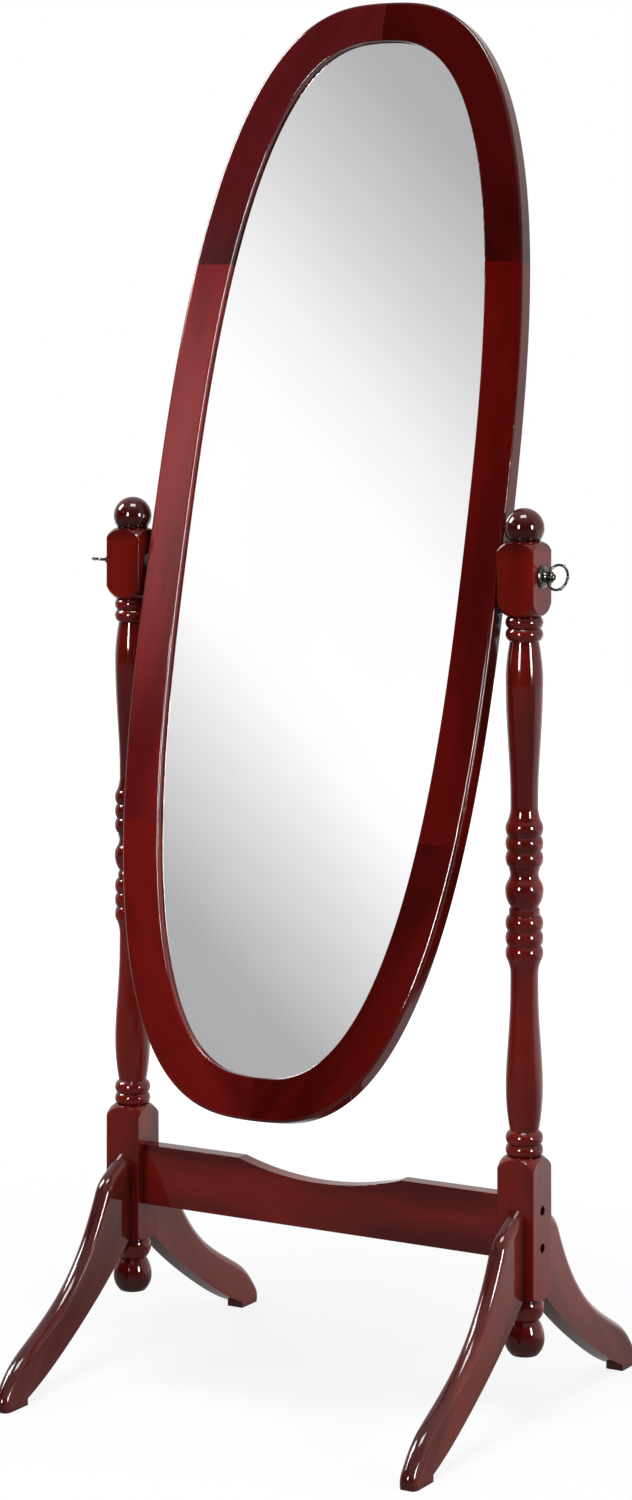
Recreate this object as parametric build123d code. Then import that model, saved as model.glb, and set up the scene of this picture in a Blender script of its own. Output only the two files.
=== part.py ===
from build123d import *
from math import cos, pi, radians, sin, sqrt
import os

# Cheval floor mirror: an oval framed glass that tilts between two turned posts.
# Millimetres, +Z up, floor at z = 0, glass facing -Y, origin midway between the posts.

# ---- driving sizes: the mirror ----
mirror_width = 439.0
mirror_height = 1226.0
rail_width = 44.8
rail_thickness = 21.0
outer_fullness = 2.73
inner_fullness = 2.64
mirror_tilt = 13.8
centre_above_pivot = 25.5
end_piece_height = 300.4
front_outer_round = 3.0
front_inner_round = 1.6
back_round = 1.2

# ---- driving sizes: glass, backing board and what holds them ----
lip_thickness = 6.0
glass_thickness = 4.0
glass_overlap = 8.0
board_thickness = 3.0
board_overlap = 18.0
seat_clearance = 0.5
board_screw_count = 10
board_screw_radius = 1.6
board_screw_length = 9.0
board_screw_head_radius = 3.6
board_screw_head_height = 1.8
board_screw_dome_radius = 2.6
board_screw_dome_height = 1.35
board_screw_slot = 0.9
frame_dowel_radius = 3.0
frame_dowel_length = 30.0
oval_points = 48

# ---- driving sizes: the turned posts ----
post_square = 42.5
arris_round = 1.0
corner_overrun = 0.6
side_gap = 4.0
swing_clearance = 8.5
head_square_height = 48.5
head_lower_shoulder = 17.8
head_upper_shoulder = 12.5
shoulder_fullness_out = 0.58
shoulder_fullness_up = 0.62
lower_block_bottom = 137.0
lower_block_height = 127.5
lower_block_shoulder = 14.8
bead_height = 12.4
swell_drop = 46.5
swell_step = 1.5
low_waist_gap = 22.0
high_waist_gap = 24.0
waist_flat = 6.0
waist_cove_reach = 7.0
waist_cove_depth = 0.7
taper_mid_radius = 0.36
low_taper_mid_height = 0.54
high_taper_mid_height = 0.38
ring_group_below_middle = 4.625
ring_height = 15.6
ring_count = 3
lower_band_height = 6.5
lower_cove_height = 3.0
centre_ring_drop = 17.0
centre_ring_rise = 9.5
upper_cove_height = 13.0
upper_cove_low_point = 7.0
upper_cove_depth = 0.4
upper_band_height = 3.0
drop_bottom = 71.5
bun_height = 32.5
drop_neck_height = 3.5
cup_height = 22.0
cup_rise = 14.5
drop_shoulder = 7.0

# ---- driving sizes: how deep each turning is cut below the post's square faces ----
ball_cut = 0.05
ball_seat_cut = 4.85
shoulder_cut = 2.65
bead_cut = 1.35
bead_root_cut = 3.95
swell_cut = 1.55
swell_neck_cut = 5.85
waist_cut = 6.45
ring_cut = 1.15
ring_root_cut = 3.55
centre_ring_cut = 0.85
band_cut = 4.85
drop_flat_cut = 7.25
bun_cut = 0.05
bun_seat_cut = 4.1
drop_neck_cut = 6.45
cup_cut = 0.45

# ---- driving sizes: the stretcher ----
stretcher_bottom = 171.0
stretcher_height = 66.0
stretcher_thickness = 19.0
scoop_half_width = 101.0
scoop_depth = 15.5
stretcher_round = 1.0

# ---- driving sizes: the legs ----
leg_reach = 257.0
leg_thickness = 20.0
leg_top = 226.0
leg_root = 134.0
leg_shoulder_out = 40.0
leg_shoulder_drop = 23.0
leg_shoulder_round = 40.0
toe_length = 40.0
toe_step = 7.0
toe_nose = 2.5
leg_upper_round = 9.5
leg_upper_curve = ((0.155, 0.27), (0.38, 0.505), (0.72, 0.705), (0.87, 0.795), (0.97, 0.9))
leg_lower_curve = ((0.84, 0.89), (0.62, 0.7), (0.43, 0.515), (0.24, 0.31))
leg_upper_start = (0.42, -0.9)
leg_upper_end = (-0.12, -1.0)

# ---- driving sizes: knock-down fittings ----
bolt_radius = 3.0
bolt_spacing = 39.0
bolt_head_radius = 4.8
bolt_head_height = 5.0
bolt_recess = 7.0
bolt_length = 62.0
hex_key_size = 4.0
hex_key_depth = 3.0
barrel_nut_radius = 5.0
barrel_nut_cover = 4.0
barrel_nut_thread_end = 2.0
fastener_clearance = 0.25
dowel_radius = 4.0
dowel_length = 36.0
dowel_end_gap = 1.0
leg_dowel_web = 6.25
leg_dowel_spacing = 46.0

# ---- driving sizes: the thumb screws that carry the mirror ----
shank_radius = 3.0
shank_clearance = 0.06
shank_engagement = 14.0
shank_chamfer = 0.6
insert_wall = 1.5
insert_length = 18.0
insert_sink = 0.2
spacer_radius = 9.0
face_clearance = 0.1
washer_radius = 12.0
washer_rim = 1.2
washer_thickness = 3.2
washer_crown_radius = 7.2
washer_dome_radius = 10.2
washer_dome_height = 2.56
hub_radius = 6.3
hub_waist_radius = 5.3
hub_length = 7.2
boss_radius = 4.7
bow_sink = 3.2
bow_half_length = 12.85
bow_half_width = 14.8
bow_rim = 2.7
bow_thickness = 2.4
bow_round = 0.9
bow_bead_radius = 1.8
bow_bead_stand = 0.3
bow_bead_angles = (-62, 0, 62)
bow_angle_right = 19.0
bow_angle_left = 97.0

# ---- sizes that follow from the ones above ----
half_square = post_square / 2
corner_radius = half_square * sqrt(2) + corner_overrun
ball_radius = half_square - ball_cut
ball_seat_radius = half_square - ball_seat_cut
shoulder_neck_radius = half_square - shoulder_cut
bead_radius = half_square - bead_cut
bead_root_radius = half_square - bead_root_cut
swell_radius = half_square - swell_cut
swell_neck_radius = half_square - swell_neck_cut
waist_radius = half_square - waist_cut
ring_radius = half_square - ring_cut
ring_root_radius = half_square - ring_root_cut
centre_ring_radius = half_square - centre_ring_cut
band_radius = half_square - band_cut
drop_flat_radius = half_square - drop_flat_cut
bun_radius = half_square - bun_cut
bun_seat_radius = half_square - bun_seat_cut
drop_neck_radius = half_square - drop_neck_cut
cup_radius = half_square - cup_cut
post_x = mirror_width / 2 + side_gap + half_square
post_inner_x = post_x - half_square
post_outer_x = post_x + half_square
stretcher_top = stretcher_bottom + stretcher_height
pivot_height = stretcher_top + swing_clearance + mirror_height / 2 + centre_above_pivot
lower_block_top = lower_block_bottom + lower_block_height
lower_beads_bottom = lower_block_top + lower_block_shoulder
lower_beads_top = lower_beads_bottom + 2 * bead_height
head_square_bottom = pivot_height - head_square_height / 2
head_square_top = pivot_height + head_square_height / 2
upper_beads_top = head_square_bottom - head_lower_shoulder
upper_beads_bottom = upper_beads_top - 2 * bead_height
ring_centre = (lower_beads_top + upper_beads_bottom) / 2 - ring_group_below_middle
lower_rings_top = ring_centre - centre_ring_drop - lower_cove_height - lower_band_height
lower_rings_bottom = lower_rings_top - ring_count * ring_height
upper_rings_bottom = ring_centre + centre_ring_rise + upper_cove_height + upper_band_height
upper_rings_top = upper_rings_bottom + ring_count * ring_height
ball_seat = head_square_top + head_upper_shoulder
ball_centre = ball_seat + sqrt(ball_radius**2 - ball_seat_radius**2)
opening_half_width = mirror_width / 2 - rail_width
opening_half_height = mirror_height / 2 - rail_width
side_joint_height = mirror_height / 2 - end_piece_height
stretcher_middle = stretcher_bottom + stretcher_height / 2
barrel_nut_length = stretcher_thickness - barrel_nut_cover
leg_dowel_depth = half_square - leg_dowel_web
shank_bore = shank_radius + shank_clearance
bolt_bore = bolt_radius + fastener_clearance
bolt_head_bore = bolt_head_radius + fastener_clearance
insert_radius = shank_radius + insert_wall
glass_front = rail_thickness / 2 - lip_thickness
board_front = glass_front - glass_thickness
back_face = -rail_thickness / 2


# ---------------------------------------------------------------- shared shapes
def rod(radius, start, end):
    """A round bar from one point to another."""
    path = Vector(*end) - Vector(*start)
    plane = Plane(origin=start, z_dir=path)
    return plane * Cylinder(radius, path.length, align=(Align.CENTER, Align.CENTER, Align.MIN))


def rod_across(radius, start, end, height=0.0):
    """A round bar along X in the middle plane, between two distances from the centre."""
    return rod(radius, (start, 0, height), (end, 0, height))


def turned(edges):
    """A solid of revolution about Z from edges drawn as (radius, height)."""
    return Rot(90, 0, 0) * revolve(make_face(Curve() + edges), Axis.Y, 360)


def turned_along_x(edges):
    """A solid of revolution about X from edges drawn as (distance, radius)."""
    return revolve(make_face(Curve() + edges), Axis.X, 360)


def group(solids):
    """Like pieces kept as separate solids of one node."""
    return Compound(children=list(solids))


# ---------------------------------------------------------------- turned posts
def bead(bottom, height, root, widest):
    """One half-round bead between two grooves of the same depth."""
    return ThreePointArc((root, bottom), (widest, bottom + height / 2), (root, bottom + height))


def bulge(low, widest, high):
    """Two arcs that leave the widest point upright, one down and one up."""
    return [TangentArc(widest, low, tangent=(0, -1)), TangentArc(widest, high, tangent=(0, 1))]


def drop_edges():
    """Flat-bottomed bun, neck and cup below the lower block."""
    bun_top = drop_bottom + bun_height
    bun_middle = drop_bottom + bun_height / 2
    neck = bun_top + drop_neck_height
    cup_top = neck + cup_height
    edges = [Line((0, drop_bottom), (drop_flat_radius, drop_bottom))]
    edges += bulge((drop_flat_radius, drop_bottom), (bun_radius, bun_middle), (bun_seat_radius, bun_top))
    edges += [Line((bun_seat_radius, bun_top), (drop_neck_radius, neck))]
    edges += bulge((drop_neck_radius, neck), (cup_radius, neck + cup_rise), (shoulder_neck_radius, cup_top))
    collar = lower_block_bottom - drop_shoulder
    edges += [Line((shoulder_neck_radius, cup_top), (shoulder_neck_radius, collar))]
    edges += [shoulder(lower_block_bottom, collar)]
    return edges


def shoulder(corner_height, neck_height):
    """The rounded turning between a square block and the neck beside it."""
    out = shoulder_neck_radius + shoulder_fullness_out * (corner_radius - shoulder_neck_radius)
    up = corner_height + shoulder_fullness_up * (neck_height - corner_height)
    return ThreePointArc((corner_radius, corner_height), (out, up), (shoulder_neck_radius, neck_height))


def bead_pair(bottom):
    """Two beads, one on the other."""
    return [
        bead(bottom, bead_height, bead_root_radius, bead_radius),
        bead(bottom + bead_height, bead_height, bead_root_radius, bead_radius),
    ]


def ring_edges():
    """Three rings, a centre ring between two coves, and three rings more."""
    low_cove = ring_centre - centre_ring_drop
    high_cove = ring_centre + centre_ring_rise
    low_band = low_cove - lower_cove_height
    high_band = high_cove + upper_cove_height
    edges = []
    for number in range(ring_count):
        rise = number * ring_height
        edges += [bead(lower_rings_bottom + rise, ring_height, ring_root_radius, ring_radius)]
        edges += [bead(upper_rings_bottom + rise, ring_height, ring_root_radius, ring_radius)]
    edges += [Line((ring_root_radius, lower_rings_top), (band_radius, lower_rings_top))]
    edges += [Line((band_radius, lower_rings_top), (band_radius, low_band))]
    edges += [Line((band_radius, low_band), (waist_radius, low_cove))]
    edges += bulge((waist_radius, low_cove), (centre_ring_radius, ring_centre), (ring_root_radius, high_cove))
    hollow = (waist_radius + upper_cove_depth, high_cove + upper_cove_low_point)
    edges += [ThreePointArc((ring_root_radius, high_cove), hollow, (band_radius, high_band))]
    edges += [Line((band_radius, high_band), (band_radius, upper_rings_bottom))]
    edges += [Line((band_radius, upper_rings_bottom), (ring_root_radius, upper_rings_bottom))]
    return edges


def swell_edges(beads, swell, waist, mid_height):
    """From the groove beside the beads, out over the swelling and in along the taper to the waist."""
    away = 1 if swell > beads else -1
    neck = (swell_neck_radius, beads + away * swell_step)
    mid_radius = waist_radius + taper_mid_radius * (swell_radius - waist_radius)
    middle = (mid_radius, waist + mid_height * (swell - waist))
    upright = ((0, away), (0, away))
    return [
        Line((bead_root_radius, beads), neck),
        TangentArc((swell_radius, swell), neck, tangent=(0, -away)),
        Spline((swell_radius, swell), middle, (waist_radius, waist), tangents=upright),
    ]


def waist_edges(waist, rings):
    """The straight waist and the cove from it up or down to the rings."""
    away = 1 if rings > waist else -1
    flat_end = (waist_radius, waist + away * waist_flat)
    hollow = (waist_radius + waist_cove_depth, rings - away * waist_cove_reach)
    return [
        Line((waist_radius, waist), flat_end),
        ThreePointArc(flat_end, hollow, (ring_root_radius, rings)),
    ]


def shaft_edges():
    """Beads, swelling, waist, rings, waist, swelling and beads, from below."""
    low_waist = lower_rings_bottom - low_waist_gap
    high_waist = upper_rings_top + high_waist_gap
    low_swell = lower_beads_top + swell_drop
    high_swell = upper_beads_bottom - swell_drop
    edges = [Line((shoulder_neck_radius, lower_beads_bottom), (bead_root_radius, lower_beads_bottom))]
    edges += bead_pair(lower_beads_bottom)
    edges += swell_edges(lower_beads_top, low_swell, low_waist, 1 - low_taper_mid_height)
    edges += waist_edges(low_waist, lower_rings_bottom)
    edges += ring_edges()
    edges += waist_edges(high_waist, upper_rings_top)
    edges += swell_edges(upper_beads_bottom, high_swell, high_waist, high_taper_mid_height)
    edges += bead_pair(upper_beads_bottom)
    edges += [Line((bead_root_radius, upper_beads_top), (shoulder_neck_radius, upper_beads_top))]
    return edges


def head_edges():
    """The head block's two shoulders and the ball on top of it."""
    edges = [shoulder(head_square_bottom, upper_beads_top)]
    edges += [Line((corner_radius, head_square_bottom), (corner_radius, head_square_top))]
    edges += [shoulder(head_square_top, ball_seat)]
    edges += [Line((shoulder_neck_radius, ball_seat), (ball_seat_radius, ball_seat))]
    ball_side = (ball_radius, ball_centre)
    edges += [ThreePointArc((ball_seat_radius, ball_seat), ball_side, (0, ball_centre + ball_radius))]
    return edges


def post_blank():
    """The turned post on the Z axis: square where the blocks are, round elsewhere."""
    top = ball_centre + ball_radius
    edges = drop_edges()
    edges += [Line((corner_radius, lower_block_bottom), (corner_radius, lower_block_top))]
    edges += [shoulder(lower_block_top, lower_beads_bottom)]
    edges += shaft_edges()
    edges += head_edges()
    edges += [Line((0, top), (0, drop_bottom))]
    square = Pos(0, 0, top / 2) * Box(post_square, post_square, 2 * top)
    arrises = square.edges().filter_by(Axis.Z)
    return turned(edges) & fillet(arrises, arris_round)


def bolt_heights():
    """Heights of the two bolts at each end of the stretcher."""
    return [stretcher_middle - bolt_spacing / 2, stretcher_middle + bolt_spacing / 2]


def leg_dowel_heights():
    """Heights of the two dowels that hold each leg."""
    middle = (leg_top + leg_root) / 2
    return [middle - leg_dowel_spacing / 2, middle + leg_dowel_spacing / 2]


def post(side):
    """A post with its pivot bore, bolt holes and dowel holes; side is -1 left, 1 right."""
    x = side * post_x
    inner = side * post_inner_x
    outer = side * post_outer_x
    solid = Pos(x, 0, 0) * post_blank()
    recess = outer - side * (bolt_recess + bolt_head_height)
    solid -= rod_across(shank_bore, inner - side, outer + side, pivot_height)
    for height in bolt_heights():
        solid -= rod_across(bolt_bore, inner - side, outer, height)
        solid -= rod_across(bolt_head_bore, recess, outer + side, height)
    solid -= rod_across(dowel_radius, inner, inner + side * dowel_length / 2, stretcher_middle)
    for height in leg_dowel_heights():
        for facing in (-1, 1):
            solid -= rod(dowel_radius, (x, facing * half_square, height), (x, facing * leg_dowel_web, height))
    return solid


# ---------------------------------------------------------------- stretcher
def stretcher():
    """A flat board with a shallow scoop in its top edge, drilled at both ends."""
    left = -post_inner_x
    right = post_inner_x
    top = stretcher_top
    outline = [
        Line((left, stretcher_bottom), (right, stretcher_bottom)),
        Line((right, stretcher_bottom), (right, top)),
        Line((right, top), (scoop_half_width, top)),
        ThreePointArc((scoop_half_width, top), (0, top - scoop_depth), (-scoop_half_width, top)),
        Line((-scoop_half_width, top), (left, top)),
        Line((left, top), (left, stretcher_bottom)),
    ]
    board = Rot(90, 0, 0) * extrude(make_face(Curve() + outline), stretcher_thickness / 2, both=True)
    long_edges = [e for e in board.edges() if abs(e.center().X) < post_inner_x - 1]
    board = fillet(long_edges, stretcher_round)
    for side in (-1, 1):
        end = side * post_inner_x
        for height in bolt_heights():
            board -= rod_across(bolt_bore, end, bolt_tip(side) - side, height)
            board -= barrel_nut_space(side, height)
        board -= rod_across(dowel_radius, end, end - side * dowel_length / 2, stretcher_middle)
    return board


def bolt_tip(side):
    """Where the stretcher bolts end."""
    return side * (post_outer_x - bolt_recess - bolt_head_height - bolt_length)


def barrel_nut_x(side):
    """Where the barrel nuts sit, with the bolts' tips just through them."""
    return bolt_tip(side) + side * (barrel_nut_radius + barrel_nut_thread_end)


def barrel_nut_space(side, height):
    """The hole that a barrel nut fills, bored from the rear face."""
    x = barrel_nut_x(side)
    rear = stretcher_thickness / 2
    return rod(barrel_nut_radius, (x, rear - barrel_nut_length, height), (x, rear, height))


# ---------------------------------------------------------------- legs
def leg_outline():
    """The leg seen from the side: (distance out from the post axis, height)."""
    shoulder_out = half_square + leg_shoulder_out
    shoulder_height = leg_top - leg_shoulder_drop
    heel = leg_reach - toe_length
    upper = [(shoulder_out, shoulder_height)]
    for along, down in leg_upper_curve:
        upper.append((shoulder_out + along * (leg_reach - shoulder_out), shoulder_height * (1 - down)))
    upper.append((leg_reach, toe_nose))
    lower = [(heel, toe_step)]
    for along, down in leg_lower_curve:
        lower.append((half_square + along * (heel - half_square), leg_root - down * (leg_root - toe_step)))
    lower.append((half_square, leg_root))
    return [
        Line((half_square, leg_root), (half_square, leg_top)),
        Line((half_square, leg_top), upper[0]),
        Spline(*upper, tangents=(leg_upper_start, leg_upper_end)),
        Line(upper[-1], (leg_reach - toe_nose, 0)),
        Line((leg_reach - toe_nose, 0), (heel, 0)),
        Line((heel, 0), lower[0]),
        Spline(*lower),
    ]


def leg_back_rims(blank):
    """The edges on both sides of the leg's back, from the post over the shoulder to the toe."""
    rims = []
    for face in blank.faces():
        middle = face.center()
        normal = face.normal_at()
        edge_on = abs(middle.Z) < leg_thickness / 4
        upward = normal.Y > 0.2 or (normal.Y > -0.5 and middle.X > leg_reach - toe_length / 2)
        if edge_on and upward and middle.Y > toe_nose / 2 and middle.X > half_square + arris_round:
            rims += [e for e in face.edges() if abs(e.center().Z) > leg_thickness / 4]
    return rims


def leg(side, facing):
    """A sawn leg with a rounded back; side is -1 left, 1 right, facing is -1 front, 1 rear."""
    blank = extrude(make_face(Curve() + leg_outline()), leg_thickness / 2, both=True)
    shoulder_out = half_square + leg_shoulder_out
    corner = [e for e in blank.edges().filter_by(Axis.Z) if abs(e.center().X - shoulder_out) < 0.5]
    blank = fillet(corner, leg_shoulder_round)
    blank = fillet(leg_back_rims(blank), leg_upper_round)
    solid = Plane.YZ * blank
    if facing < 0:
        solid = mirror(solid, about=Plane.XZ)
    solid = Pos(side * post_x, 0, 0) * solid
    face = facing * half_square
    bottom = face + facing * leg_dowel_depth
    for height in leg_dowel_heights():
        solid -= rod(dowel_radius, (side * post_x, face, height), (side * post_x, bottom, height))
    return solid


# ---------------------------------------------------------------- knock-down fittings
def stretcher_bolt(side, height):
    """A cap screw with a hexagon socket, sunk in the post's outer face."""
    head_face = side * (post_outer_x - bolt_recess)
    seat = head_face - side * bolt_head_height
    bolt = rod_across(bolt_head_radius, seat, head_face, height)
    bolt += rod_across(bolt_radius, bolt_tip(side), seat, height)
    hexagon = RegularPolygon(hex_key_size / 2, 6, major_radius=False)
    socket = Plane(origin=(head_face, 0, height), z_dir=(-side, 0, 0))
    return bolt - socket * extrude(hexagon, hex_key_depth)


def barrel_nut(side, height):
    """A cross dowel that the bolt's end screws into."""
    x = barrel_nut_x(side)
    thread = rod_across(bolt_radius, x - 2 * barrel_nut_radius, x + 2 * barrel_nut_radius, height)
    return barrel_nut_space(side, height) - thread


def stretcher_dowel(side):
    """The glued dowel between the two bolts at one end of the stretcher."""
    end = side * post_inner_x
    half = dowel_length / 2 - dowel_end_gap
    return rod_across(dowel_radius, end - half, end + half, stretcher_middle)


def leg_dowels(side, facing):
    """The two glued dowels between a leg and its post."""
    face = facing * half_square
    half = leg_dowel_depth - dowel_end_gap
    x = side * post_x
    return group(rod(dowel_radius, (x, face - half, z), (x, face + half, z)) for z in leg_dowel_heights())


# ---------------------------------------------------------------- oval frame, drawn flat and then set
# Drawn with x across, y up the glass and z towards the front, origin on the pivot axis.
def oval_reach(angle, fullness):
    """How far out the oval lies at an angle, against the circle that it is drawn from."""
    return (abs(cos(angle))**fullness + abs(sin(angle))**fullness) ** (-1 / fullness)


def oval(half_width, half_height, fullness):
    """A full oval: a circle's points pushed out towards the corners of its box."""
    points = []
    for step in range(oval_points):
        angle = 2 * pi * (step + 0.5) / oval_points
        reach = oval_reach(angle, fullness)
        height = half_height * reach * sin(angle)
        points.append((half_width * reach * cos(angle), centre_above_pivot + height))
    return make_face(Spline(*points, periodic=True))


def oval_slab(grow, bottom, top):
    """A slab with the shape of the opening, larger by grow all round."""
    face = oval(opening_half_width + grow, opening_half_height + grow, inner_fullness)
    return Pos(0, 0, bottom) * extrude(face, top - bottom)


def insert_bore(side, radius, length):
    """The space for a threaded insert, from the frame's edge inwards along the pivot axis."""
    edge = side * mirror_width / 2
    return rod(radius, (edge - side * length, 0, 0), (edge + side * side_gap / 2, 0, 0))


def frame_ring():
    """The whole oval frame before it is cut into its six pieces."""
    outline = oval(mirror_width / 2, mirror_height / 2, outer_fullness)
    outline -= oval(opening_half_width, opening_half_height, inner_fullness)
    ring = Pos(0, 0, back_face) * extrude(outline, rail_thickness)
    ring = fillet(rims_by_length(ring, front=True)[-1], front_outer_round)
    ring = fillet(rims_by_length(ring, front=True)[0], front_inner_round)
    ring = fillet(rims_by_length(ring, front=False)[-1], back_round)
    cuts = [oval_slab(glass_overlap, board_front, glass_front)]
    cuts += [oval_slab(board_overlap, 2 * back_face, board_front)]
    cuts += [insert_bore(side, insert_radius, insert_length) for side in (-1, 1)]
    cuts += [place * Cylinder(frame_dowel_radius, frame_dowel_length) for place in joint_places()]
    cuts += [place * Cylinder(board_screw_radius, 2 * board_screw_length) for place in board_screw_places()]
    return ring - cuts


def rims_by_length(ring, front):
    """The rims of the ring's front or back face, the shortest first."""
    level = -1 if front else 0
    return ring.edges().group_by(Axis.Z)[level].sort_by(SortBy.LENGTH)


def joint_places():
    """Dowels across the six butt joints, on the rail's outer wall."""
    wall = (rail_width - board_overlap) / 2
    tall = mirror_height / 2 - wall
    wide = mirror_width / 2 - wall
    side_reach = wide * (1 - (side_joint_height / tall) ** outer_fullness) ** (1 / outer_fullness)
    places = []
    for up in (-1, 1):
        places.append(Pos(0, centre_above_pivot + up * tall, 0) * Rot(0, 90, 0))
        joint = centre_above_pivot + up * side_joint_height
        for across in (-1, 1):
            places.append(Pos(across * side_reach, joint, 0) * Rot(90, 0, 0))
    return places


def board_screw_places():
    """Evenly spread places on the ledge that the backing board lies on."""
    middle = (glass_overlap + board_overlap) / 2
    wide = opening_half_width + middle
    tall = opening_half_height + middle
    places = []
    for number in range(board_screw_count):
        angle = 2 * pi * (number + 0.5) / board_screw_count
        reach = oval_reach(angle, inner_fullness)
        height = centre_above_pivot + tall * reach * sin(angle)
        places.append(Pos(wide * reach * cos(angle), height, board_front))
    return places


def frame_zone(across, low, high):
    """The block of space that one frame piece is cut from; heights are from the oval's middle."""
    width = mirror_width
    middle = centre_above_pivot + (low + high) / 2
    return Pos(across * width / 2, middle, 0) * Box(width, high - low, 4 * rail_thickness)


def frame_pieces():
    """The six pieces that the frame is glued up from, by name."""
    ring = frame_ring()
    joint = side_joint_height
    beyond = mirror_height
    pieces = {}
    for name, across in (("left", -1), ("right", 1)):
        pieces[f"frame_side_{name}"] = ring & frame_zone(across, -joint, joint)
        pieces[f"frame_top_{name}"] = ring & frame_zone(across, joint, beyond)
        pieces[f"frame_bottom_{name}"] = ring & frame_zone(across, -beyond, -joint)
    return pieces


def mirror_glass():
    """The silvered glass, a little smaller than its seat all round."""
    return oval_slab(glass_overlap - seat_clearance, board_front, glass_front)


def backing_board():
    """The hardboard that closes the back, drilled for its screws."""
    board = oval_slab(board_overlap - seat_clearance, board_front - board_thickness, board_front)
    for place in board_screw_places():
        board -= place * Cylinder(board_screw_radius, 3 * board_thickness)
    return board


def board_screws():
    """Pan-head screws through the backing board into the frame."""
    dome_point = (board_screw_dome_radius, -board_screw_dome_height)
    dome = [
        Line((0, 0), (board_screw_head_radius, 0)),
        ThreePointArc((board_screw_head_radius, 0), dome_point, (0, -board_screw_head_height)),
        Line((0, -board_screw_head_height), (0, 0)),
    ]
    shaft = Cylinder(board_screw_radius, board_screw_length, align=(Align.CENTER, Align.CENTER, Align.MIN))
    slot = Box(2 * board_screw_head_radius, board_screw_slot, board_screw_head_height)
    screw = turned(dome) + shaft - Pos(0, 0, -board_screw_head_height) * slot
    return group(place * Pos(0, 0, -board_thickness) * screw for place in board_screw_places())


def frame_dowels():
    """Glued dowels, one across each of the frame's joints."""
    length = frame_dowel_length - dowel_end_gap
    return group(place * Cylinder(frame_dowel_radius, length) for place in joint_places())


def threaded_insert(side):
    """The brass insert in the frame's edge that the thumb screw screws into."""
    frame_width = mirror_width - 2 * insert_sink
    insert = insert_bore(side, insert_radius, insert_length)
    insert &= Box(frame_width, 4 * insert_radius, 4 * insert_radius)
    return insert - insert_bore(side, shank_bore, insert_length)


def spacer(side):
    """The washer that keeps the frame's edge off the post."""
    start = side * (mirror_width / 2 + face_clearance)
    end = side * (post_inner_x - face_clearance)
    return rod_across(spacer_radius, start, end) - rod_across(shank_bore, start - side, end + side)


# ---------------------------------------------------------------- thumb screws
def post_washer(side):
    """A domed washer between the thumb screw and the post's outer face."""
    bore = shank_bore
    seat = post_outer_x + face_clearance
    rim = seat + washer_rim
    crown = seat + washer_thickness
    dome_point = (seat + washer_dome_height, washer_dome_radius)
    edges = [
        Line((seat, bore), (seat, washer_radius)),
        Line((seat, washer_radius), (rim, washer_radius)),
        ThreePointArc((rim, washer_radius), dome_point, (crown, washer_crown_radius)),
        Line((crown, washer_crown_radius), (crown, bore)),
        Line((crown, bore), (seat, bore)),
    ]
    washer = turned_along_x(edges)
    if side < 0:
        washer = mirror(washer, about=Plane.YZ)
    return Pos(0, 0, pivot_height) * washer


def screw_stem(hub_start, hub_end):
    """The thumb screw's shank and waisted hub."""
    tip = mirror_width / 2 - shank_engagement
    waist = (hub_start + hub_length / 2, hub_waist_radius)
    return turned_along_x([
        Line((tip, 0), (tip, shank_radius - shank_chamfer)),
        Line((tip, shank_radius - shank_chamfer), (tip + shank_chamfer, shank_radius)),
        Line((tip + shank_chamfer, shank_radius), (hub_start, shank_radius)),
        Line((hub_start, shank_radius), (hub_start, hub_radius)),
        ThreePointArc((hub_start, hub_radius), waist, (hub_end, hub_radius)),
        Line((hub_end, hub_radius), (hub_end, 0)),
        Line((hub_end, 0), (tip, 0)),
    ])


def screw_bow():
    """The open oval bow with its three beads, round the origin."""
    inner_length = bow_half_length - bow_rim
    inner_width = bow_half_width - bow_rim
    flat = Ellipse(bow_half_length, bow_half_width) - Ellipse(inner_length, inner_width)
    bow = extrude(flat, bow_thickness / 2, both=True)
    bow = fillet([e for e in bow.edges() if abs(e.center().Z) > bow_thickness / 4], bow_round)
    bow = Rot(90, 0, 0) * bow
    for angle in bow_bead_angles:
        out = (bow_half_length - bow_rim / 2 + bow_bead_stand) * cos(radians(angle))
        up = (bow_half_width - bow_rim / 2 + bow_bead_stand) * sin(radians(angle))
        bow += Pos(out, 0, up) * Sphere(bow_bead_radius)
    return bow


def thumb_screw(side, angle):
    """Shank, waisted hub, round boss and open oval bow, cast in one."""
    hub_start = post_outer_x + washer_thickness + 2 * face_clearance
    hub_end = hub_start + hub_length
    bow_centre = hub_end - bow_sink + bow_half_length - bow_rim
    screw = screw_stem(hub_start, hub_end)
    screw += Pos(hub_end, 0, 0) * Sphere(boss_radius)
    screw += Pos(bow_centre, 0, 0) * screw_bow()
    screw = Rot(-angle, 0, 0) * screw
    if side < 0:
        screw = mirror(screw, about=Plane.YZ)
    return Pos(0, 0, pivot_height) * screw


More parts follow.
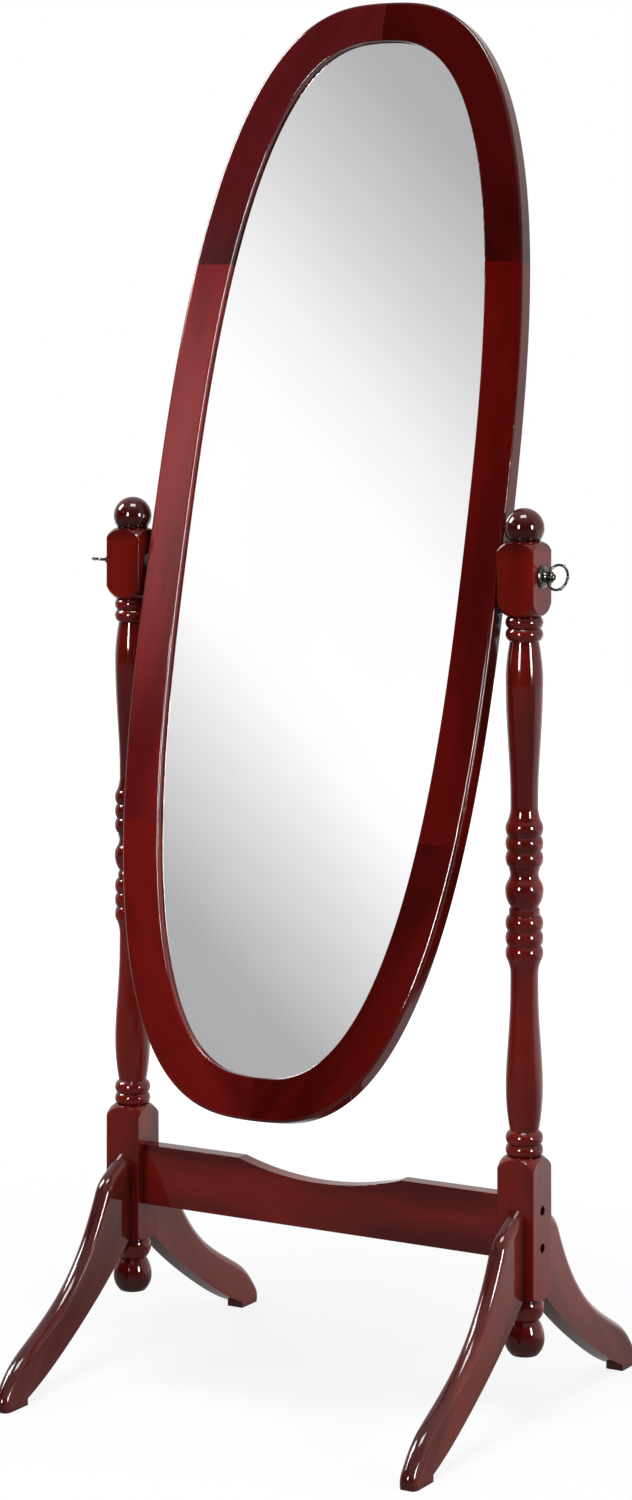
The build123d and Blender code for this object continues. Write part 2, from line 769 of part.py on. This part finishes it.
# ---------------------------------------------------------------- assembly
def all_nodes():
    """Every piece of the mirror, in place, by its name."""
    set_frame = Pos(0, 0, pivot_height) * Rot(90 - mirror_tilt, 0, 0)
    sides = (("left", -1), ("right", 1))
    nodes = {"stretcher": stretcher()}
    for name, side in sides:
        nodes[f"post_{name}"] = post(side)
        for place, facing in (("front", -1), ("rear", 1)):
            nodes[f"leg_{place}_{name}"] = leg(side, facing)
            nodes[f"leg_dowels_{place}_{name}"] = leg_dowels(side, facing)
        nodes[f"stretcher_bolts_{name}"] = group(stretcher_bolt(side, z) for z in bolt_heights())
        nodes[f"barrel_nuts_{name}"] = group(barrel_nut(side, z) for z in bolt_heights())
        nodes[f"stretcher_dowel_{name}"] = stretcher_dowel(side)
        nodes[f"threaded_insert_{name}"] = set_frame * threaded_insert(side)
        nodes[f"pivot_spacer_{name}"] = set_frame * spacer(side)
        nodes[f"post_washer_{name}"] = post_washer(side)
    nodes["thumb_screw_left"] = thumb_screw(-1, bow_angle_left)
    nodes["thumb_screw_right"] = thumb_screw(1, bow_angle_right)
    for name, piece in frame_pieces().items():
        nodes[name] = set_frame * piece
    nodes["mirror_glass"] = set_frame * mirror_glass()
    nodes["backing_board"] = set_frame * backing_board()
    nodes["backing_screws"] = set_frame * board_screws()
    nodes["frame_dowels"] = set_frame * frame_dowels()
    return nodes


os.makedirs("parts", exist_ok=True)
for node_name, node_shape in all_nodes().items():
    export_step(node_shape, f"parts/{node_name}.step")
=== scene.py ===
from math import radians
import bpy
import bmesh
from mathutils import Matrix, Vector

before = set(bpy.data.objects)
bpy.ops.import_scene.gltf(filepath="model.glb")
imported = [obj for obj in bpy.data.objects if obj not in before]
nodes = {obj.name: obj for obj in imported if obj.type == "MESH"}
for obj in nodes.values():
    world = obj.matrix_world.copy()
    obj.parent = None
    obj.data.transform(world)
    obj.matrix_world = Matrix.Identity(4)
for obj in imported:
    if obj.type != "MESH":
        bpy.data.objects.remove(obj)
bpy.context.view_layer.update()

# ---- Turned posts ----
# The two posts are turned from 42 mm square cherry, left square at the pivots and at the stretcher.
# They are stained red and lacquered to a gloss, and toned darker on the ball on top and on the bun
# at the foot. Their grooves carry painted shade.


def shader(name):
    """A new node material, with its Principled shader and the two lists that build it."""
    material = bpy.data.materials.new(name)
    material.use_nodes = True
    tree = material.node_tree
    return material, tree.nodes, tree.links, tree.nodes["Principled BSDF"]


def along_grain(make, link, turn, stretch):
    """Object coordinates with their Z turned to the piece's grain, and drawn out along it."""
    place = make.new("ShaderNodeTexCoord")
    turned = make.new("ShaderNodeMapping")
    turned.vector_type = "TEXTURE"
    turned.inputs["Rotation"].default_value = turn
    drawn = make.new("ShaderNodeMapping")
    drawn.inputs["Scale"].default_value = stretch
    link.new(place.outputs["Object"], turned.inputs["Vector"])
    link.new(turned.outputs["Vector"], drawn.inputs["Vector"])
    return drawn.outputs["Vector"]


def streaks(make, link, vector, detail, roughness, low, high):
    """A noise along the grain, its contrast set by the two levels that become black and white."""
    noise = make.new("ShaderNodeTexNoise")
    noise.inputs["Scale"].default_value = 1.0
    noise.inputs["Detail"].default_value = detail
    noise.inputs["Roughness"].default_value = roughness
    levels = make.new("ShaderNodeMapRange")
    levels.interpolation_type = "SMOOTHSTEP"
    levels.inputs["From Min"].default_value = low
    levels.inputs["From Max"].default_value = high
    link.new(vector, noise.inputs["Vector"])
    link.new(noise.outputs["Fac"], levels.inputs["Value"])
    return levels.outputs["Result"]


def tint(make, link, amount, base, colour, blend="MIX"):
    """One colour over another by an amount; colours are either values or another node's output."""
    mix = make.new("ShaderNodeMix")
    mix.data_type = "RGBA"
    mix.blend_type = blend
    sockets = {s.identifier: s for s in mix.inputs}
    for name, value in (("Factor_Float", amount), ("A_Color", base), ("B_Color", colour)):
        if isinstance(value, bpy.types.NodeSocket):
            link.new(value, sockets[name])
        else:
            sockets[name].default_value = value
    return next(s for s in mix.outputs if s.identifier == "Result_Color")


cloud_strength = 0.75
pore_strength = 0.45
# Colour of the painted shade in hollows; the pores below take a real darker stain.
painted_hollow_shade = (0.012, 0.002, 0.0015, 1)
pore_stain = (0.01, 0.0015, 0.001, 1)


def stained_cherry(name, turn, red, deep, glow):
    """Stained cherry under lacquer: broad cloudy figure, fine streaks, pores, and painted shade in hollows
    and where pieces meet.
    """
    material, make, link, wood = shader(name)
    clouds = streaks(make, link, along_grain(make, link, turn, (16, 16, 3.2)), 3.0, 0.55, 0.34, 0.68)
    lines = streaks(make, link, along_grain(make, link, turn, (150, 150, 4.5)), 5.0, 0.6, 0.36, 0.66)
    pores = streaks(make, link, along_grain(make, link, turn, (1400, 1400, 42)), 2.0, 0.5, 0.62, 0.74)
    cloud_depth = make.new("ShaderNodeMath")
    cloud_depth.operation = "MULTIPLY"
    cloud_depth.inputs[1].default_value = cloud_strength
    link.new(clouds, cloud_depth.inputs[0])
    colour = tint(make, link, cloud_depth.outputs["Value"], red, deep)
    colour = tint(make, link, lines, colour, glow, "OVERLAY")
    # Painted shade: ambient occlusion darkens the colour in hollows and where pieces meet.
    shade_in_hollows = make.new("ShaderNodeAmbientOcclusion")
    shade_in_hollows.samples = 4
    shade_in_hollows.inputs["Distance"].default_value = 0.009
    hollow_shade_amount = make.new("ShaderNodeMapRange")
    hollow_shade_amount.inputs["From Min"].default_value = 0.35
    hollow_shade_amount.inputs["From Max"].default_value = 0.9
    hollow_shade_amount.inputs["To Min"].default_value = 0.75
    hollow_shade_amount.inputs["To Max"].default_value = 0.0
    link.new(shade_in_hollows.outputs["AO"], hollow_shade_amount.inputs["Value"])
    colour = tint(make, link, hollow_shade_amount.outputs["Result"], colour, painted_hollow_shade)
    pore_depth = make.new("ShaderNodeMath")
    pore_depth.operation = "MULTIPLY"
    pore_depth.inputs[1].default_value = pore_strength
    link.new(pores, pore_depth.inputs[0])
    colour = tint(make, link, pore_depth.outputs["Value"], colour, pore_stain)
    link.new(colour, wood.inputs["Base Color"])
    relief = make.new("ShaderNodeBump")
    relief.invert = True
    relief.inputs["Strength"].default_value = 0.12
    relief.inputs["Distance"].default_value = 0.0001
    link.new(pores, relief.inputs["Height"])
    link.new(relief.outputs["Normal"], wood.inputs["Normal"])
    ripple = make.new("ShaderNodeBump")
    ripple.inputs["Strength"].default_value = 0.05
    ripple.inputs["Distance"].default_value = 0.0005
    waves = streaks(make, link, along_grain(make, link, turn, (90, 90, 30)), 2.0, 0.5, 0.2, 0.8)
    link.new(waves, ripple.inputs["Height"])
    link.new(ripple.outputs["Normal"], wood.inputs["Coat Normal"])
    wood.inputs["Roughness"].default_value = 0.42
    wood.inputs["Specular IOR Level"].default_value = 0.0
    wood.inputs["Coat Weight"].default_value = 0.85
    wood.inputs["Coat Roughness"].default_value = 0.075
    wood.inputs["Coat IOR"].default_value = 1.48
    return material


def finish_node(name, material):
    """Gives a carried-over piece its finish."""
    piece = nodes[name]
    piece.data.materials.clear()
    piece.data.materials.append(material)


upright_grain = (0, 0, 0)
cherry_red = (0.225, 0.0110, 0.0065, 1)
cherry_deep = (0.046, 0.0026, 0.0018, 1)
cherry_glow = (0.56, 0.47, 0.45, 1)
ball_and_bun_toner = (0.022, 0.0030, 0.0030, 1)
bun_toning, cup_toning, ball_toning, top_toning = 0.72, 0.65, 0.8, 0.82
for side in ("left", "right"):
    post_wood = stained_cherry(f"post_cherry_{side}", upright_grain, cherry_red, cherry_deep, cherry_glow)
    make, link = post_wood.node_tree.nodes, post_wood.node_tree.links
    colour = make["Principled BSDF"].inputs["Base Color"]
    place = make.new("ShaderNodeTexCoord")
    height = make.new("ShaderNodeSeparateXYZ")
    toning = make.new("ShaderNodeValToRGB")
    toning.color_ramp.elements[0].color = (bun_toning, bun_toning, bun_toning, 1)
    toning.color_ramp.elements[1].color = (top_toning, top_toning, top_toning, 1)
    for at, grey in ((0.085, cup_toning), (0.10, 0.0), (0.905, 0.0), (0.922, ball_toning)):
        toning.color_ramp.elements.new(at).color = (grey, grey, grey, 1)
    link.new(place.outputs["Object"], height.inputs["Vector"])
    link.new(height.outputs["Z"], toning.inputs["Fac"])
    plain_colour = colour.links[0].from_socket
    link.new(tint(make, link, toning.outputs["Color"], plain_colour, ball_and_bun_toner), colour)
    finish_node(f"post_{side}", post_wood)

# ---- Stretcher ----
# One flat board, scooped along its top edge, holds the posts apart. It is bolted to them at both ends,
# with its grain running across, and its stain lets more of the red wood show than the posts' does.

across_grain = (0, radians(90), 0)
stretcher_red = (0.290, 0.0150, 0.0090, 1)
board_wood = stained_cherry("stretcher_cherry", across_grain, stretcher_red, cherry_deep, cherry_glow)
finish_node("stretcher", board_wood)

# ---- Legs ----
# Four sawn legs, dowelled in pairs to the front and the back of each post, with the grain along the slope.
# The stain is browner on their flat sides, and painted shade darkens their rounded backs.

leg_brown = (0.195, 0.0300, 0.0200, 1)
# Colour of the painted shade over the legs' rounded backs and narrow faces.
painted_back_shade = (0.045, 0.004, 0.005, 1)
leg_slope = radians(43)
for place, slope in (("front", -leg_slope), ("rear", leg_slope)):
    for side in ("left", "right"):
        name = f"leg_cherry_{place}_{side}"
        leg_wood = stained_cherry(name, (slope, 0, 0), leg_brown, cherry_deep, cherry_glow)
        make, link = leg_wood.node_tree.nodes, leg_wood.node_tree.links
        colour = make["Principled BSDF"].inputs["Base Color"]
        # Painted shade: faces whose normal turns away from the flat sides are darkened.
        facing = make.new("ShaderNodeTexCoord")
        sideways = make.new("ShaderNodeSeparateXYZ")
        flatness = make.new("ShaderNodeMath")
        flatness.operation = "ABSOLUTE"
        back_shade_amount = make.new("ShaderNodeMapRange")
        back_shade_amount.inputs["From Min"].default_value = 0.35
        back_shade_amount.inputs["From Max"].default_value = 0.97
        back_shade_amount.inputs["To Min"].default_value = 0.7
        back_shade_amount.inputs["To Max"].default_value = 0.0
        link.new(facing.outputs["Normal"], sideways.inputs["Vector"])
        link.new(sideways.outputs["X"], flatness.inputs[0])
        link.new(flatness.outputs["Value"], back_shade_amount.inputs["Value"])
        plain_colour = colour.links[0].from_socket
        link.new(tint(make, link, back_shade_amount.outputs["Result"], plain_colour, painted_back_shade), colour)
        finish_node(f"leg_{place}_{side}", leg_wood)

# ---- Oval frame ----
# Six sawn pieces, dowelled and glued end to end, make the oval that leans back with the glass.
# Each was cut from another board, so their tones differ where they meet at the joints. Painted light adds
# to that:
# # a painted sheen makes the left side lighter, and painted shade makes the right side and top darker.

lean = radians(-13.8)
deep_share = 0.3
# Per-piece tones: partly the boards' own tone, partly a painted sheen on the left side and painted shade
# on the right and top.
frame_tones_and_painted_light = {
    "frame_side_left": (0.260, 0.0150, 0.0170, 0),
    "frame_side_right": (0.115, 0.0030, 0.0020, 0),
    "frame_top_left": (0.085, 0.0070, 0.0085, 34),
    "frame_top_right": (0.048, 0.0020, 0.0015, -34),
    "frame_bottom_left": (0.195, 0.0090, 0.0080, -34),
    "frame_bottom_right": (0.118, 0.0040, 0.0028, 34),
}
for name, (red, green, blue, cant) in frame_tones_and_painted_light.items():
    tone = (red, green, blue, 1)
    deep_tone = (red * deep_share, green * deep_share, blue * deep_share, 1)
    grain_turn = (lean, radians(cant), 0)
    frame_wood = stained_cherry(f"cherry_{name}", grain_turn, tone, deep_tone, cherry_glow)
    finish_node(name, frame_wood)

# ---- Glass ----
# A sheet of four millimetre float glass, silvered on the back and laid in the rebate of the frame.
# The silver is the metal base of the finish, and the polished face of the glass is its coat.

material, make, link, silver = shader("silvered_glass")
haze = streaks(make, link, along_grain(make, link, (lean, 0, 0), (6, 6, 2.5)), 4.0, 0.55, 0.3, 0.75)
colour = tint(make, link, haze, (0.958, 0.956, 0.958, 1), (0.940, 0.937, 0.940, 1))
link.new(colour, silver.inputs["Base Color"])
silver.inputs["Metallic"].default_value = 1.0
silver.inputs["Roughness"].default_value = 0.0
silver.inputs["Coat Weight"].default_value = 0.6
silver.inputs["Coat Roughness"].default_value = 0.0
finish_node("mirror_glass", material)

# ---- Backing board ----
# A sheet of brown hardboard lies behind the glass and closes the frame.
# It is left raw, with its smooth side out, and held by ten small screws round its edge.

material, make, link, board = shader("hardboard")
fibres = streaks(make, link, along_grain(make, link, (0, 0, 0), (700, 700, 700)), 3.0, 0.65, 0.35, 0.7)
patches = streaks(make, link, along_grain(make, link, (0, 0, 0), (14, 14, 14)), 3.0, 0.5, 0.3, 0.75)
colour = tint(make, link, fibres, (0.150, 0.078, 0.036, 1), (0.235, 0.130, 0.066, 1))
colour = tint(make, link, patches, colour, (0.44, 0.42, 0.40, 1), "OVERLAY")
link.new(colour, board.inputs["Base Color"])
relief = make.new("ShaderNodeBump")
relief.inputs["Strength"].default_value = 0.3
relief.inputs["Distance"].default_value = 0.0002
link.new(fibres, relief.inputs["Height"])
link.new(relief.outputs["Normal"], board.inputs["Normal"])
board.inputs["Roughness"].default_value = 0.62
finish_node("backing_board", material)

# ---- Dowels ----
# Beech dowels hold the legs to the posts, the frame's pieces to each other, and the stretcher in line.
# They are glued into their holes and left bare, with their grain along them.

material, make, link, beech = shader("bare_beech")
dowel_grain = along_grain(make, link, (radians(90), 0, 0), (900, 900, 60))
flecks = streaks(make, link, dowel_grain, 3.0, 0.6, 0.35, 0.65)
colour = tint(make, link, flecks, (0.62, 0.44, 0.27, 1), (0.50, 0.32, 0.18, 1))
link.new(colour, beech.inputs["Base Color"])
beech.inputs["Roughness"].default_value = 0.7
for side in ("left", "right"):
    for name in (f"leg_dowels_front_{side}", f"leg_dowels_rear_{side}", f"stretcher_dowel_{side}"):
        finish_node(name, material)
finish_node("frame_dowels", material)

# ---- Metal fittings ----
# The thumb screws that clamp the mirror, and their domed washers, are cast and plated in antique nickel.
# The bolts are black, the barrel nuts and the backing screws zinc plated, and the threaded inserts brass.


def metal(name, bright, dark, roughness):
    """A plated or bare metal with a cloudy surface and painted shade in its hollows."""
    material, make, link, surface = shader(name)
    blotches = along_grain(make, link, (0, 0, 0), (260, 260, 260))
    cloud = streaks(make, link, blotches, 4.0, 0.6, 0.35, 0.7)
    # Painted shade: ambient occlusion darkens the colour in the hollows.
    shade_in_hollows = make.new("ShaderNodeAmbientOcclusion")
    shade_in_hollows.samples = 4
    shade_in_hollows.inputs["Distance"].default_value = 0.003
    link.new(tint(make, link, cloud, bright, dark), shade_in_hollows.inputs["Color"])
    link.new(shade_in_hollows.outputs["Color"], surface.inputs["Base Color"])
    rough = make.new("ShaderNodeMapRange")
    rough.inputs["To Min"].default_value = roughness
    rough.inputs["To Max"].default_value = roughness + 0.16
    link.new(cloud, rough.inputs["Value"])
    link.new(rough.outputs["Result"], surface.inputs["Roughness"])
    relief = make.new("ShaderNodeBump")
    relief.inputs["Strength"].default_value = 0.12
    relief.inputs["Distance"].default_value = 0.0001
    link.new(cloud, relief.inputs["Height"])
    link.new(relief.outputs["Normal"], surface.inputs["Normal"])
    surface.inputs["Metallic"].default_value = 1.0
    return material


nickel = metal("antique_nickel", (0.120, 0.120, 0.108, 1), (0.034, 0.034, 0.028, 1), 0.15)
zinc = metal("zinc_steel", (0.62, 0.63, 0.64, 1), (0.42, 0.43, 0.45, 1), 0.3)
black_steel = metal("black_oxide_steel", (0.035, 0.035, 0.038, 1), (0.018, 0.018, 0.02, 1), 0.34)
brass = metal("brass", (0.72, 0.50, 0.20, 1), (0.52, 0.34, 0.13, 1), 0.28)
for side in ("left", "right"):
    finish_node(f"thumb_screw_{side}", nickel)
    finish_node(f"post_washer_{side}", nickel)
    finish_node(f"stretcher_bolts_{side}", black_steel)
    finish_node(f"barrel_nuts_{side}", zinc)
    finish_node(f"threaded_insert_{side}", brass)
finish_node("backing_screws", zinc)

# ---- Pivot spacers ----
# A black nylon washer sits on each thumb screw between the frame and the post.
# It keeps the lacquered edges apart and lets the mirror turn without a squeak.

material, make, link, nylon = shader("black_nylon")
grain = streaks(make, link, along_grain(make, link, (0, 0, 0), (1600, 1600, 1600)), 2.0, 0.5, 0.3, 0.7)
colour = tint(make, link, grain, (0.020, 0.019, 0.018, 1), (0.034, 0.032, 0.030, 1))
link.new(colour, nylon.inputs["Base Color"])
nylon.inputs["Roughness"].default_value = 0.45
for side in ("left", "right"):
    finish_node(f"pivot_spacer_{side}", material)

# ---- Floor ----
# A plain pale floor under the feet, which takes a faint shadow and fades into the white surround.
# Lacquer facing the front mirrors little of it, and lacquer facing the rear mirrors more.


def flat_card(name, width, height, place, turn):
    """A flat rectangle of the studio, placed by its mesh."""
    mesh = bmesh.new()
    bmesh.ops.create_grid(mesh, x_segments=1, y_segments=1, size=0.5)
    bmesh.ops.scale(mesh, vec=(width, height, 1), verts=mesh.verts)
    bmesh.ops.rotate(mesh, cent=(0, 0, 0), matrix=turn, verts=mesh.verts)
    bmesh.ops.translate(mesh, vec=place, verts=mesh.verts)
    card = bpy.data.objects.new(name, bpy.data.meshes.new(name))
    mesh.to_mesh(card.data)
    mesh.free()
    bpy.context.scene.collection.objects.link(card)
    return card


floor_size = 14
floor = flat_card("studio_floor", floor_size, floor_size, (0, 0, 0), Matrix.Identity(3))
material, make, link, paint = shader("pale_floor")
place = make.new("ShaderNodeTexCoord")
spread = make.new("ShaderNodeVectorMath")
spread.operation = "LENGTH"
fade = make.new("ShaderNodeMapRange")
fade.interpolation_type = "SMOOTHSTEP"
fade.inputs["From Min"].default_value = 0.15
fade.inputs["From Max"].default_value = 1.1
fade.inputs["To Min"].default_value = 0.84
where = make.new("ShaderNodeSeparateXYZ")
rearward = make.new("ShaderNodeMapRange")
rearward.inputs["From Min"].default_value = 0.1
rearward.inputs["From Max"].default_value = 1.2
rearward.inputs["To Min"].default_value = 0.25
rearward.inputs["To Max"].default_value = 1.35
straight = make.new("ShaderNodeLightPath")
stronger = make.new("ShaderNodeMath")
stronger.operation = "MAXIMUM"
either = make.new("ShaderNodeMath")
either.operation = "MAXIMUM"
light_floor = make.new("ShaderNodeEmission")
link.new(place.outputs["Object"], where.inputs["Vector"])
link.new(where.outputs["Y"], rearward.inputs["Value"])
link.new(rearward.outputs["Result"], stronger.inputs[0])
link.new(straight.outputs["Is Camera Ray"], either.inputs[0])
link.new(straight.outputs["Is Singular Ray"], either.inputs[1])
link.new(either.outputs["Value"], stronger.inputs[1])
link.new(stronger.outputs["Value"], light_floor.inputs["Strength"])
both = make.new("ShaderNodeMixShader")
link.new(place.outputs["Object"], spread.inputs[0])
link.new(spread.outputs["Value"], fade.inputs["Value"])
link.new(fade.outputs["Result"], both.inputs["Fac"])
link.new(paint.outputs["BSDF"], both.inputs[1])
link.new(light_floor.outputs["Emission"], both.inputs[2])
link.new(both.outputs["Shader"], make["Material Output"].inputs["Surface"])
paint.inputs["Base Color"].default_value = (0.93, 0.93, 0.93, 1)
paint.inputs["Roughness"].default_value = 0.9
paint.inputs["Specular IOR Level"].default_value = 0.0
floor.data.materials.append(material)

# ---- Soft card ----
# A tall card stands high at the front left, where the glass mirrors it: a bright band that leans across
# it, grey at both ends. Lacquer mirrors only a pool of light at its left edge.

card_place = Vector((-2.35, -3.75, 2.45))
card_turn = (-card_place + Vector((0, 0, 1.2))).to_track_quat("Z", "Y").to_matrix()
card = flat_card("soft_card", 3.4, 4.2, card_place, card_turn)
material, make, link, replaced = shader("soft_card_light")
make.remove(replaced)
place = make.new("ShaderNodeTexCoord")
leaning = make.new("ShaderNodeVectorMath")
leaning.operation = "DOT_PRODUCT"
leaning.inputs[1].default_value = (0.85, 0, 1)
level = make.new("ShaderNodeMapRange")
level.inputs["From Min"].default_value = -0.8
level.inputs["From Max"].default_value = 1.8
band = make.new("ShaderNodeValToRGB")
glow = make.new("ShaderNodeEmission")
stops = ((0.0, 0.44), (1.0, 0.46), (0.09, 0.46), (0.23, 0.77), (0.34, 1.03), (0.40, 1.06), (0.57, 1.04),
         (0.68, 0.92), (0.79, 0.71), (0.95, 0.475))
for number, (at, grey) in enumerate(stops):
    stop = band.color_ramp.elements[number] if number < 2 else band.color_ramp.elements.new(at)
    stop.position = at
    stop.color = (grey, grey, grey, 1)
link.new(place.outputs["Object"], leaning.inputs[0])
link.new(leaning.outputs["Value"], level.inputs["Value"])
link.new(level.outputs["Result"], band.inputs["Fac"])
in_glass = make.new("ShaderNodeLightPath")
in_lacquer = make.new("ShaderNodeMath")
in_lacquer.operation = "SUBTRACT"
from_middle = make.new("ShaderNodeVectorMath")
from_middle.operation = "DISTANCE"
from_middle.inputs[1].default_value = (-2.8, -3.55, 2.65)
pool = make.new("ShaderNodeMapRange")
pool.interpolation_type = "SMOOTHSTEP"
pool.inputs["From Min"].default_value = 0.1
pool.inputs["From Max"].default_value = 0.75
pool.inputs["To Min"].default_value = 1.25
pool.inputs["To Max"].default_value = 0.03
dimmed = make.new("ShaderNodeMapRange")
dimmed.inputs["To Min"].default_value = 1.0
link.new(place.outputs["Object"], from_middle.inputs[0])
link.new(from_middle.outputs["Value"], pool.inputs["Value"])
link.new(pool.outputs["Result"], dimmed.inputs["To Max"])
link.new(in_glass.outputs["Is Glossy Ray"], in_lacquer.inputs[0])
link.new(in_glass.outputs["Is Singular Ray"], in_lacquer.inputs[1])
link.new(in_lacquer.outputs["Value"], dimmed.inputs["Value"])
link.new(dimmed.outputs["Result"], glow.inputs["Strength"])
link.new(band.outputs["Color"], glow.inputs["Color"])
link.new(glow.outputs["Emission"], make["Material Output"].inputs["Surface"])
card.data.materials.append(material)
card.visible_camera = False

# ---- Surround ----
# A white studio: dark in front, bright behind and above, so that rounded edges show against the wood.
# Straight to the eye and in the glass it is plain white.

world = bpy.data.worlds.new("white_studio")
world.use_nodes = True
bpy.context.scene.world = world
make, link = world.node_tree.nodes, world.node_tree.links
direction = make.new("ShaderNodeTexCoord")
parts = make.new("ShaderNodeSeparateXYZ")
behind = make.new("ShaderNodeMapRange")
behind.interpolation_type = "SMOOTHSTEP"
behind.inputs["From Min"].default_value = -0.45
behind.inputs["From Max"].default_value = 0.25
behind.inputs["To Min"].default_value = 0.02
behind.inputs["To Max"].default_value = 0.9
above = make.new("ShaderNodeMapRange")
above.interpolation_type = "SMOOTHSTEP"
above.inputs["From Min"].default_value = 0.35
above.inputs["From Max"].default_value = 0.85
above.inputs["To Max"].default_value = 0.6
brighter = make.new("ShaderNodeMath")
brighter.operation = "MAXIMUM"
seen = make.new("ShaderNodeLightPath")
fill = make.new("ShaderNodeMapRange")
fill.inputs["To Min"].default_value = 1.0
fill.inputs["To Max"].default_value = 0.3
weaker = make.new("ShaderNodeMath")
weaker.operation = "MULTIPLY"
plain = make.new("ShaderNodeMath")
plain.operation = "MAXIMUM"
mirrored = make.new("ShaderNodeMath")
mirrored.operation = "MULTIPLY"
mirrored.inputs[1].default_value = 0.8
direct = make.new("ShaderNodeMath")
direct.operation = "MAXIMUM"
link.new(direction.outputs["Generated"], parts.inputs["Vector"])
link.new(parts.outputs["Y"], behind.inputs["Value"])
link.new(parts.outputs["Z"], above.inputs["Value"])
link.new(behind.outputs["Result"], brighter.inputs[0])
link.new(above.outputs["Result"], brighter.inputs[1])
link.new(seen.outputs["Is Diffuse Ray"], fill.inputs["Value"])
link.new(brighter.outputs["Value"], weaker.inputs[0])
link.new(fill.outputs["Result"], weaker.inputs[1])
link.new(weaker.outputs["Value"], plain.inputs[0])
link.new(seen.outputs["Is Singular Ray"], mirrored.inputs[0])
link.new(seen.outputs["Is Camera Ray"], direct.inputs[0])
link.new(mirrored.outputs["Value"], direct.inputs[1])
link.new(direct.outputs["Value"], plain.inputs[1])
link.new(plain.outputs["Value"], make["Background"].inputs["Strength"])
make["Background"].inputs["Color"].default_value = (1, 1, 1, 1)

# ---- Lamps ----
# Small window lamps put the crisp lights on the turnings and the legs' backs.
# Broad soft lamps stand with them and only fill, so the lacquer doesn't mirror them.

lamps = (
    ("overhead_soft_light", (1.3, 0.9), 70, (0.4, -0.8, 3.6), True, True),
    ("front_window_light", (0.6, 1.1), 115, (-0.1, -3.5, 1.5), False, True),
    ("right_window_light", (0.6, 1.1), 105, (3.4, -0.95, 1.3), False, True),
    ("left_window_light", (1.1, 1.4), 150, (-2.7, -0.9, 2.8), False, True),
    ("front_soft_light", (1.2, 1.2), 21, (-0.1, -3.5, 1.5), True, False),
    ("right_soft_light", (1.2, 1.2), 21, (3.4, -0.95, 1.3), True, False),
    ("left_soft_light", (1.2, 1.2), 24, (-2.6, -0.8, 3.0), True, False),
    ("rear_soft_light", (2.0, 1.6), 50, (2.6, 2.4, 1.9), True, False),
)
aim = Vector((0, 0, 0.7))
for name, size, power, place, fills, glints in lamps:
    lamp = bpy.data.lights.new(name, "AREA")
    lamp.shape = "RECTANGLE"
    lamp.size, lamp.size_y = size
    lamp.energy = power
    holder = bpy.data.objects.new(name, lamp)
    holder.location = place
    holder.visible_camera = False
    holder.visible_diffuse = fills
    holder.visible_glossy = glints
    holder.rotation_euler = (Vector(place) - aim).to_track_quat("Z", "Y").to_euler()
    bpy.context.scene.collection.objects.link(holder)

# ---- Camera ----
# It stands at the front right, level with the upper part of the mirror and looking straight ahead.
# The frame is shifted down to take in the feet, which keeps the posts upright.

view = bpy.data.cameras.new("camera")
view.sensor_width = 36
view.lens = 84.91
view.shift_x = 0.0167
view.shift_y = -0.28
view.clip_end = 60
camera = bpy.data.objects.new("camera", view)
camera.location = (1.9288, -3.2995, 1.1412)
camera.rotation_euler = (radians(90), 0, 0.5378)
bpy.context.scene.collection.objects.link(camera)
bpy.context.scene.camera = camera
bpy.context.scene.view_settings.view_transform = "Standard"
